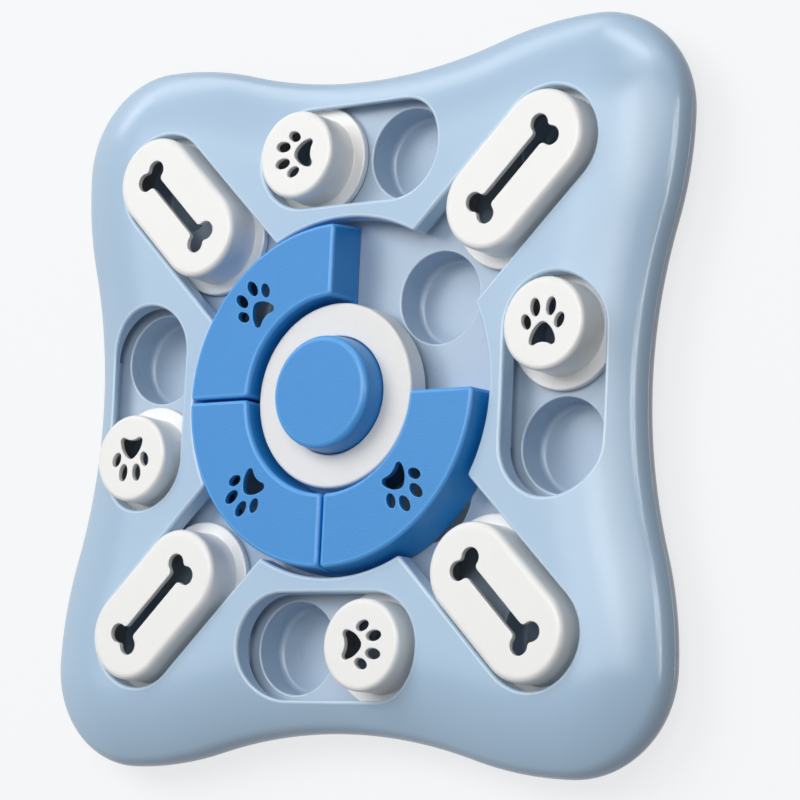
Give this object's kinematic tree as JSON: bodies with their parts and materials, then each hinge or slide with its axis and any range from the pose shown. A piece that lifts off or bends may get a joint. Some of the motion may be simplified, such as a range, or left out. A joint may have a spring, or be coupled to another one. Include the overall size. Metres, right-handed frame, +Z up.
{
  "type": "dog puzzle feeder toy",
  "caption": "Flat four-lobed treat puzzle board with sliding paw and bone caps over round wells, a ring of turning quarter covers and a squeaker button.",
  "frame": {"origin": "centre of the board on the surface that it rests on", "axes": "+Z up, out of the play face; +X and +Y across the board, with the bone channels on the diagonals"},
  "size_m": [0.27, 0.27, 0.0392],
  "materials": {
    "board_blue": "satin moulded shell",
    "tray_blue": "satin moulded tray",
    "slider_white": "satin",
    "ring_blue": "fine grain",
    "bulb_grey": "soft vinyl",
    "reed_white": "plain",
    "screw_steel": "zinc plated",
    "foot_rubber": "soft pad"
  },
  "bodies": {
    "housing": {"base_rim": "board_blue", "tray_plate": "tray_blue", "slot_wells": "tray_blue", "channel_wells": "tray_blue", "bulb_cup": "tray_blue", "guide_ribs": "tray_blue", "tray_ribs": "tray_blue", "screw_posts": "tray_blue", "top_cover": "board_blue", "hub_collar": "slider_white", "squeaker_bulb": "bulb_grey", "squeaker_reed": "reed_white", "hub_screws": "screw_steel", "cover_screws": "screw_steel", "foot_ne": "foot_rubber", "foot_nw": "foot_rubber", "foot_sw": "foot_rubber", "foot_se": "foot_rubber"},
    "paw_n": {"paw_slider_n": "slider_white"},
    "paw_e": {"paw_slider_e": "slider_white"},
    "paw_s": {"paw_slider_s": "slider_white"},
    "paw_w": {"paw_slider_w": "slider_white"},
    "bone_ne": {"bone_slider_ne": "slider_white"},
    "bone_nw": {"bone_slider_nw": "slider_white"},
    "bone_sw": {"bone_slider_sw": "slider_white"},
    "bone_se": {"bone_slider_se": "slider_white"},
    "ring_sw": {"ring_segment_sw": "ring_blue"},
    "ring_nw": {"ring_segment_nw": "ring_blue"},
    "ring_se": {"ring_segment_se": "ring_blue"},
    "button": {"squeaker_button": "ring_blue"}
  },
  "joints": [
    {"name": "paw_n_slide", "type": "slide", "parent": "housing", "child": "paw_n", "axis": [1, 0, 0], "range_m": [0, 0.0402]},
    {"name": "paw_e_slide", "type": "slide", "parent": "housing", "child": "paw_e", "axis": [0, -1, 0], "range_m": [0, 0.0402]},
    {"name": "paw_s_slide", "type": "slide", "parent": "housing", "child": "paw_s", "axis": [-1, 0, 0], "range_m": [0, 0.0402]},
    {"name": "paw_w_slide", "type": "slide", "parent": "housing", "child": "paw_w", "axis": [0, 1, 0], "range_m": [0, 0.0402]},
    {"name": "bone_ne_slide", "type": "slide", "parent": "housing", "child": "bone_ne", "axis": [-0.7071, -0.7071, 0], "range_m": [0, 0.0395]},
    {"name": "bone_nw_slide", "type": "slide", "parent": "housing", "child": "bone_nw", "axis": [0.7071, -0.7071, 0], "range_m": [0, 0.0045]},
    {"name": "bone_sw_slide", "type": "slide", "parent": "housing", "child": "bone_sw", "axis": [0.7071, 0.7071, 0], "range_m": [0, 0.0045]},
    {"name": "bone_se_slide", "type": "slide", "parent": "housing", "child": "bone_se", "axis": [-0.7071, 0.7071, 0], "range_m": [0, 0.0045]},
    {"name": "button_press", "type": "slide", "parent": "housing", "child": "button", "axis": [0, 0, -1], "range_m": [0, 0.004], "stiffness_N_per_m": 1500, "springref_m": -0.001, "deforming": ["squeaker_bulb"]},
    {"name": "ring_turn", "type": "hinge", "parent": "housing", "child": "ring_sw", "pos_m": [0, 0, 0.017], "axis": [0, 0, 1], "range_deg": [-450, 450]},
    {"name": "ring_nw_turn", "type": "hinge", "parent": "ring_sw", "child": "ring_nw", "pos_m": [0, 0, 0.017], "axis": [0, 0, 1], "range_deg": [-90, 0]},
    {"name": "ring_se_turn", "type": "hinge", "parent": "ring_sw", "child": "ring_se", "pos_m": [0, 0, 0.017], "axis": [0, 0, 1], "range_deg": [0, 90]}
  ]
}
